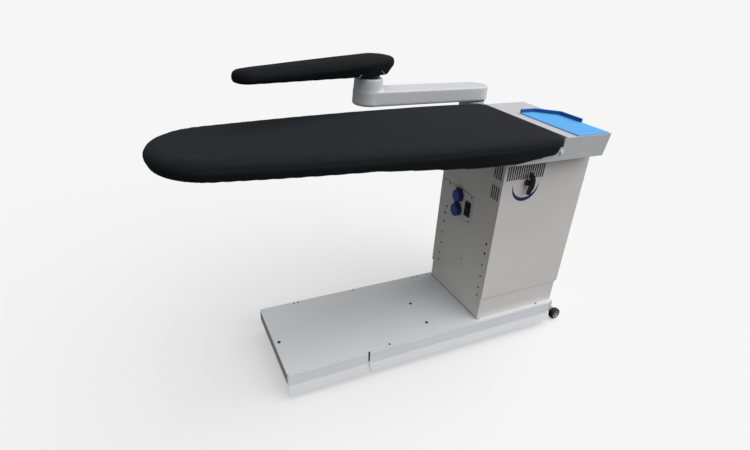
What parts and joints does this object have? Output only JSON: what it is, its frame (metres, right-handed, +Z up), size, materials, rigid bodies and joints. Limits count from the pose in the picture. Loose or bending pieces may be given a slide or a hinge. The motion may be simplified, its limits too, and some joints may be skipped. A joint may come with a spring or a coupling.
{
  "type": "vacuum ironing table",
  "caption": "Professional ironing table: padded suction board on a lifting box column with foot pedals, iron rest, fan, transport wheels and a swinging sleeve board.",
  "frame": {"origin": "on the floor, under the middle of the overall length and width", "axes": "+X along the board from its nose to the iron rest, +Y away from the user, +Z up"},
  "size_m": [1.495, 0.6022, 1.002],
  "materials": {
    "grey_paint": "satin powder coat",
    "steel": "plain",
    "black_paint": "satin",
    "foot_rubber": "matte",
    "tyre_rubber": "matte",
    "hub_plastic": "matte",
    "black_plastic": "fine grain",
    "navy_plastic": "satin",
    "aluminium": "mill",
    "foam": "open foam",
    "black_fabric": "plain weave",
    "blue_silicone": "satin"
  },
  "bodies": {
    "base": {"base_plate": "grey_paint", "cross_members": "grey_paint", "foot_studs": "steel", "foot_pads": "foot_rubber", "wheel_brackets": "grey_paint", "wheel_axles": "steel", "pedal_rod": "steel", "pedal_switches": "black_plastic", "side_panel": "grey_paint", "plinth": "grey_paint", "guide_rails": "steel", "gas_spring_cylinder": "black_paint", "socket_hatch": "grey_paint", "panel_screws": "steel", "socket_upper": "navy_plastic", "socket_lower": "navy_plastic", "switch_housing": "black_plastic", "base_screws": "steel"},
    "lift": {"slide_posts": "steel", "lift_crossbar": "steel", "gas_spring_rod": "steel", "inner_apron": "black_paint", "column_cover": "grey_paint", "tray_shell": "grey_paint", "tray_floor": "grey_paint", "diverter_box": "black_paint", "fan_housing": "black_plastic", "fan_motor": "aluminium", "arm_duct": "steel", "arm_bracket": "grey_paint", "arm_post": "grey_paint", "arm_washer": "black_plastic", "board_pan": "aluminium", "board_grille": "aluminium", "board_pad": "foam", "board_cover": "black_fabric", "iron_rest": "blue_silicone", "tray_screws": "steel"},
    "fan": {"fan_impeller": "aluminium", "fan_shaft": "steel"},
    "diverter": {"lever_handle": "black_plastic", "diverter_shaft": "steel", "diverter_flap": "black_plastic"},
    "swing_arm": {"arm_shell": "grey_paint", "arm_underside": "grey_paint"},
    "sleeve": {"sleeve_swivel": "black_plastic", "sleeve_pan": "aluminium", "sleeve_pad": "foam", "sleeve_cover": "black_fabric", "cover_clips": "steel"},
    "suction": {"suction_pedal": "grey_paint"},
    "blow": {"blow_pedal": "grey_paint"},
    "near_wheel": {"near_wheel_tyre": "tyre_rubber", "near_wheel_hub": "hub_plastic"},
    "far_wheel": {"far_wheel_tyre": "tyre_rubber", "far_wheel_hub": "hub_plastic"},
    "upper_lid": {"lid_upper": "navy_plastic"},
    "lower_lid": {"lid_lower": "navy_plastic"},
    "rocker": {"switch_rocker": "black_plastic"}
  },
  "joints": [
    {"name": "height_slide", "type": "slide", "parent": "base", "child": "lift", "axis": [0, 0, 1], "range_m": [0, 0.15]},
    {"name": "arm_swing", "type": "hinge", "parent": "lift", "child": "swing_arm", "pos_m": [0.4835, 0.2229, 0.835], "axis": [0, 0, 1], "range_deg": [-80, 85]},
    {"name": "sleeve_turn", "type": "hinge", "parent": "swing_arm", "child": "sleeve", "pos_m": [0.0185, 0.2229, 0.93], "axis": [0, 0, 1], "continuous": true},
    {"name": "suction_press", "type": "hinge", "parent": "base", "child": "suction", "pos_m": [0.1285, -0.1441, 0.072], "axis": [1, 0, 0], "range_deg": [0, 7], "stiffness_Nm_per_rad": 60, "springref_deg": -5.73},
    {"name": "blow_press", "type": "hinge", "parent": "base", "child": "blow", "pos_m": [0.1285, -0.1441, 0.072], "axis": [1, 0, 0], "range_deg": [0, 7], "stiffness_Nm_per_rad": 30, "springref_deg": -5.73},
    {"name": "near_wheel_spin", "type": "hinge", "parent": "base", "child": "near_wheel", "pos_m": [0.7235, -0.2411, 0.0255], "axis": [0, 1, 0], "continuous": true},
    {"name": "far_wheel_spin", "type": "hinge", "parent": "base", "child": "far_wheel", "pos_m": [0.7235, 0.1129, 0.0255], "axis": [0, 1, 0], "continuous": true},
    {"name": "diverter_turn", "type": "hinge", "parent": "lift", "child": "diverter", "pos_m": [0.4175, -0.2341, 0.6595], "axis": [0, 1, 0], "range_deg": [-45, 45]},
    {"name": "upper_lid_open", "type": "hinge", "parent": "base", "child": "upper_lid", "pos_m": [0.3015, -0.0156, 0.559], "axis": [0, 1, 0], "range_deg": [0, 90], "stiffness_Nm_per_rad": 0.02, "springref_deg": -22.92},
    {"name": "lower_lid_open", "type": "hinge", "parent": "base", "child": "lower_lid", "pos_m": [0.3015, -0.0156, 0.5005], "axis": [0, 1, 0], "range_deg": [0, 90], "stiffness_Nm_per_rad": 0.02, "springref_deg": -22.92},
    {"name": "rocker_tilt", "type": "hinge", "parent": "base", "child": "rocker", "pos_m": [0.3145, -0.0756, 0.5], "axis": [0, 1, 0], "range_deg": [0, 18]},
    {"name": "fan_spin", "type": "hinge", "parent": "lift", "child": "fan", "pos_m": [0.5475, -0.0641, 0.65], "axis": [1, 0, 0], "continuous": true}
  ]
}
